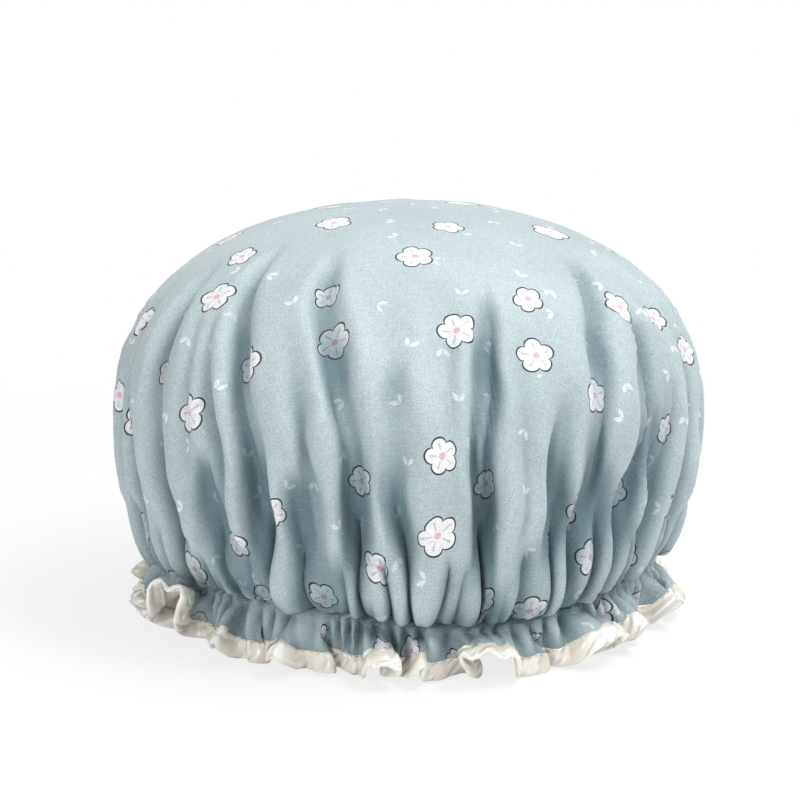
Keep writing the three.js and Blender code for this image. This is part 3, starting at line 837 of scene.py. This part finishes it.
# Outer cover, a round of cloth gathered by its elastic
outer = {"thick": .00025, "back": .0012, "poleLift": .0002}

coverEnd = np.searchsorted(arcs, arcs[-1] - outer["back"])
crownHeight = float(grid[0, :, 2].mean()) + outer["poleLift"]
cover = clothMesh("outer_cover_cloth", grid[:coverEnd], arcs[:coverEnd], hollow, (0, 0, crownHeight))
thicken(cover, outer["thick"])
finishPiece(cover, coverMaterial, "printed_cloth", "outer_cover")
print("cover", len(cover.data.polygons))

# Lining, inside the cover and round the inner side of the elastic
lining = {"gap": .0006, "thick": .00025, "casing": .0938, "above": .0035, "below": .006}


def liningGrid(grid, arcs, p):
    inner = grid - gridNormals(grid) * p["gap"]
    inward = smooth(arcs, domeArc - p["above"], domeArc) * (1 - smooth(arcs, casingEnd, casingEnd + p["below"]))
    radius = np.hypot(inner[:, :, 0], inner[:, :, 1])
    wanted = radius + (np.minimum(radius, p["casing"]) - radius) * inward[:, None]
    inner[:, :, :2] *= (wanted / radius)[:, :, None]
    return inner


liningRows = liningGrid(grid, arcs, lining)[:coverEnd]
liningPole = (0, 0, crownHeight - lining["gap"])
liningPiece = clothMesh("inner_lining_satin", liningRows, arcs[:coverEnd], 0 * hollow, liningPole)
thicken(liningPiece, lining["thick"])
finishPiece(liningPiece, liningMaterial, "lining_satin", "inner_lining")

# Satin band, folded round the hem of the frill
band = {
    "outer": .0003, "inner": .0012, "swell": .00015, "fullness": .7, "round": 5, "thick": .0002,
    "crease": .00012, "creases": 173, "creaseDrift": [(3, 11, 0)], "creaseShare": .1,
}


def bandGrid(grid, arcs, p):
    # down its outer side, round the hem and up its inner side
    first, last = np.searchsorted(arcs, arcs[-1] - frill["length"] + frill["printed"]), len(arcs) - 1
    normals = gridNormals(grid)
    share = (arcs - arcs[first]) / (arcs[last] - arcs[first])
    turns = np.arange(grid.shape[1]) / grid.shape[1] * 2 * pi
    tuck = p["crease"] * np.sin(p["creases"] * turns + waves(turns, p["creaseDrift"]))[:, None]
    way = grid[last] - grid[last - 1]
    way = way / np.linalg.norm(way, axis=1, keepdims=True)
    rows, depths = [], []

    def swell(row):
        return p["swell"] * math.sin(pi * min(share[row] * .5, .5)) ** p["fullness"]

    def add(row, out, down=0.):
        rows.append(grid[row] + normals[row] * out + way * down)
        depths.append(hollow[row])

    for row in range(first, last + 1):
        add(row, p["outer"] + swell(row) + tuck * (1 - share[row]) * smooth(share[row], 0, p["creaseShare"]))
    middle, half = (p["outer"] - p["inner"]) / 2, (p["outer"] + p["inner"]) / 2 + p["swell"]
    for k in range(1, p["round"]):
        around = pi * k / p["round"]
        add(last, middle + half * math.cos(around), half * math.sin(around))
    for row in range(last, first - 1, -1):
        add(row, -p["inner"] - swell(row))
    widths = [np.linalg.norm(b - a, axis=1).mean() for a, b in zip(rows, rows[1:])]
    return np.array(rows), arcs[first] + np.concatenate([[0], np.cumsum(widths)]), np.array(depths)


bandRows, bandArcs, bandPaintedShade = bandGrid(grid, arcs, band)
trim = clothMesh("satin_trim_band", bandRows, bandArcs, bandPaintedShade)
thicken(trim, band["thick"])
finishPiece(trim, satinMaterial, "satin", "satin_trim")
print("band", len(trim.data.polygons), "width", round(bandArcs[-1] - bandArcs[0], 4))


# Thread and elastic: waves of the twist or the braid, and fuzz. Their tone is partly painted shade, darker in the
# grooves of the twist or braid, and partly fuzz
threadFibre = {"waves": 900, "bend": 2, "fuzz": 2500, "share": .6, "roughness": (.5, .2), "relief": (.4, .0001)}
elasticFibre = {
    "waves": .5, "bend": 1, "fuzz": 1800, "share": .5, "roughness": (.75, .15), "relief": (.5, .0002),
    "braid": (190, 2000), "shade": linear(214, 211, 203), "colour": linear(244, 242, 236),
}


def fibre(place, along, shade, colour, p):
    sockets = {"Vector": along, "Scale": p["waves"], "Distortion": p["bend"]}
    twist = along.node("TexWave", {"bands_direction": "DIAGONAL"}, sockets)
    fuzz = place.noise(p["fuzz"])
    # painted shade: darker where the twist's wave is low, in its grooves
    tone = (twist * p["share"] + fuzz * (1 - p["share"])).mix(shade, colour)
    rough, rougher = p["roughness"]
    sockets = {"Base Color": tone, "Roughness": rough + fuzz * rougher, "Normal": twist.bump(*p["relief"])}
    return place.node("BsdfPrincipled", {}, sockets)


def threadSurface(colour, shade):
    def build(start):
        place = start.node("TexCoord").other("Object")
        return fibre(place, place, shade, colour, threadFibre)
    return build


def elasticSurface(start):
    p = elasticFibre
    place = start.node("TexCoord").other("Object")
    around, up = p["braid"]
    braid = place.node("CombineXYZ", {}, {0: place.turn() * around, 1: place.parts().other("Z") * up})
    return fibre(place, braid, p["shade"], p["colour"], p)


elasticMaterial = makeMaterial("braided elastic", elasticSurface)
coverThread = makeMaterial("cover thread", threadSurface(linear(170, 186, 191), linear(143, 160, 166)))
trimThread = makeMaterial("trim thread", threadSurface(linear(233, 229, 216), linear(205, 199, 182)))

elastic = {
    "inside": .0943, "thick": .0009, "width": elasticHigh.z - elasticLow.z, "edge": 6,
    "ribs": 7, "ribPoints": 4, "ribHeight": .00012, "steps": 360, "lap": .012, "ramp": .006, "clear": .0001,
    "rampEnd": .008,    # in radians
}


def elasticSection(p):
    # ribs run along both faces of the strip: distance out and height of each point
    across = np.linspace(-.5, .5, p["ribs"] * p["ribPoints"] + 1)
    rib = p["ribHeight"] * np.abs(np.cos(pi * p["ribs"] * across))
    edge = np.minimum(1, (1 - np.abs(across * 2)) * p["edge"]) ** .5
    middle = p["thick"] / 2
    half = (middle - p["ribHeight"] + rib) * edge
    outer, inner = (np.stack([middle + out, across * p["width"]], 1) for out in (half, -half))
    return np.vstack([outer, inner[-2:0:-1]])


def makeElastic(p):
    section = elasticSection(p)
    sides, lap = len(section), p["lap"] / p["inside"]
    gone = np.linspace(0, 2 * pi + lap, p["steps"])
    ramp = smooth(gone, 2 * pi - p["ramp"] / p["inside"], 2 * pi - p["rampEnd"])
    points = []
    for angle, out in zip(lapAngle - lap / 2 + gone, (p["thick"] + p["clear"]) * ramp):
        height = elasticHeight + float(swayAt(angle)) + section[:, 1]
        points.append(ringPoints(np.full(sides, angle), p["inside"] + out + section[:, 0], height))
    faces = []
    for i in range(p["steps"] - 1):
        for k in range(sides):
            a, b = i * sides + k, i * sides + (k + 1) % sides
            faces.append((a, b, b + sides, a + sides))
    last = (p["steps"] - 1) * sides
    faces += [tuple(range(sides))[::-1], tuple(last + k for k in range(sides))]
    piece = addMesh("elastic_braid", np.vstack(points), faces)
    recalculate(piece)
    return piece


finishPiece(makeElastic(elastic), elasticMaterial, "elastic", "elastic_band")

# Zigzag of thread over the lap of the elastic
bartack = {"length": .006, "width": .0022, "legs": 14, "legSteps": 6, "rounding": .98, "thread": .00022, "seat": .7}


def makeBartack(p):
    curve = bpy.data.curves.new("elastic_bartack_zigzag", "CURVE")
    curve.dimensions = "3D"
    curve.bevel_depth = p["thread"]
    curve.bevel_resolution = 2
    curve.use_fill_caps = True
    line = curve.splines.new("POLY")
    outside = elastic["inside"] + 2 * elastic["thick"] + elastic["clear"] + p["thread"] * p["seat"]
    steps = p["legs"] * p["legSteps"]
    line.points.add(steps)
    for i in range(steps + 1):
        angle = lapAngle + (i / steps - .5) * p["length"] / outside
        swing = math.asin(math.sin(pi * i / p["legSteps"] + pi / 2) * p["rounding"]) / (pi / 2)
        height = elasticHeight + float(swayAt(lapAngle)) + swing * p["width"] / 2
        line.points[i].co = (outside * math.sin(angle), -outside * math.cos(angle), height, 1)
    piece = bpy.data.objects.new("elastic_bartack_zigzag", curve)
    bpy.context.collection.objects.link(piece)
    select(piece)
    bpy.ops.object.convert(target="MESH")
    return bpy.context.object


finishPiece(makeBartack(bartack), trimThread, "trim_thread", "elastic_bartack")

# Rows of stitches: each is a short thread whose ends dive into the cloth
stitch = {
    "length": .0024, "gap": .0008, "thread": .00018, "dive": .0004, "blunt": .7, "seat": .6, "reach": .4,
    "bandSeat": .0001,
}


def makeStitch(p):
    bpy.ops.object.select_all(action="DESELECT")
    bpy.ops.mesh.primitive_uv_sphere_add(segments=6, ring_count=7, radius=1, rotation=(0, pi / 2, 0))
    one = bpy.context.object
    bpy.ops.object.transform_apply(location=False, rotation=True, scale=False)
    faces = [tuple(face.vertices) for face in one.data.polygons]
    x, y, z = np.array([vertex.co for vertex in one.data.vertices]).T
    bpy.data.objects.remove(one)
    along = np.sign(x) * np.abs(x) ** p["blunt"]
    arch = p["thread"] * p["seat"] - p["dive"] * along ** 4
    return np.stack([along * p["length"] / 2, y * p["thread"], z * p["thread"] + arch], 1), faces


def stitchRow(name, ring, normals, p, out=0):
    base, faces = makeStitch(p)
    ring = ring + normals * out
    lengths = arcLength(ring)
    count = int(lengths[-1] / (p["length"] + p["gap"]))
    points, allFaces = [], []

    def at(place, values):
        loop = np.vstack([values, values[:1]])
        return np.array([np.interp(place % lengths[-1], lengths, loop[:, axis]) for axis in range(3)])

    for i in range(count):
        middle, reach = (i + .5) / count * lengths[-1], p["length"] * p["reach"]
        before, after = at(middle - reach, ring), at(middle + reach, ring)
        along = (after - before) / np.linalg.norm(after - before)
        side = np.cross(at(middle, normals), along)
        side /= np.linalg.norm(side)
        up = np.cross(along, side)
        seat = (before + after + at(middle, ring)) / 3
        allFaces += [tuple(corner + len(base) * i for corner in face) for face in faces]
        points.append(seat + base[:, :1] * along + base[:, 1:2] * side + base[:, 2:] * up)
    piece = addMesh(name, np.vstack(points), allFaces)
    recalculate(piece)
    return piece


normals = gridNormals(grid)
for name, arc in (("casing_stitch_upper", domeArc), ("casing_stitch_lower", casingEnd)):
    row = int(np.searchsorted(arcs, arc))
    finishPiece(stitchRow(name + "_thread", grid[row], normals[row], stitch), coverThread, "cover_thread", name)
seam, seamNormals = (bandRows[0] + bandRows[1]) / 2, gridNormals(bandRows)[1]
piece = stitchRow("trim_stitch_thread", seam, seamNormals, stitch, stitch["bandSeat"])
finishPiece(piece, trimThread, "cover_thread", "trim_stitch")

# Floor, lamps and world. The floor is seen white, with a little shade close to the cap
stage = {
    "floor": linear(250, 250, 250), "reach": 14, "near": .2, "far": .5, "clear": .8,
    "sky": (.96, .98, 1, 1), "skyPower": .34, "aim": Vector((0, 0, .09)),
}
# Place, size and power
lamps = {
    "window": ((.58, -.5, 1.1), .45, 8.6), "above": ((.5, .1, 1.4), .8, 11), "front": ((-.9, -1.2, .35), .6, 7.2),
}


def seenShare(start):
    # 1 for camera and glossy rays
    ray = start.node("LightPath")
    return ray.math("MAXIMUM", ray, ray.other("Is Glossy Ray"))


def floorSurface(start):
    place = start.node("TexCoord").other("Object")
    away = place.length().step(stage["near"], stage["far"])
    clear = seenShare(start) * upFrom(stage["clear"], away)
    matte = start.node("BsdfDiffuse", {}, {"Color": stage["floor"]})
    white = start.node("Emission", {}, {"Color": (1, 1, 1, 1), "Strength": 1})
    return start.node("MixShader", {}, {0: clear, 1: matte, 2: white})


def worldSurface(start):
    soft = start.node("Background", {}, {"Color": stage["sky"], "Strength": stage["skyPower"]})
    white = start.node("Background", {}, {"Color": (1, 1, 1, 1), "Strength": 1})
    return start.node("MixShader", {}, {0: seenShare(start), 1: soft, 2: white})


def makeFloor(p):
    bpy.ops.object.select_all(action="DESELECT")
    bpy.ops.mesh.primitive_plane_add(size=p["reach"] * 2, location=(0, 0, 0))
    floor = bpy.context.object
    floor.name = "floor"
    floor.data.materials.append(makeMaterial("floor", floorSurface))


def makeLamp(name, place, size, power):
    aim = stage["aim"] - Vector(place)
    bpy.ops.object.light_add(type="AREA", location=place, rotation=aim.to_track_quat("-Z", "Y").to_euler())
    lamp = bpy.context.object
    lamp.name = name
    lamp.data.size = size
    lamp.data.energy = power


makeFloor(stage)
for name, lamp in lamps.items():
    makeLamp(name, *lamp)
bpy.context.scene.world = fillTree(bpy.data.worlds.new("studio"), "World", worldSurface)
bpy.context.scene.view_settings.view_transform = "Standard"
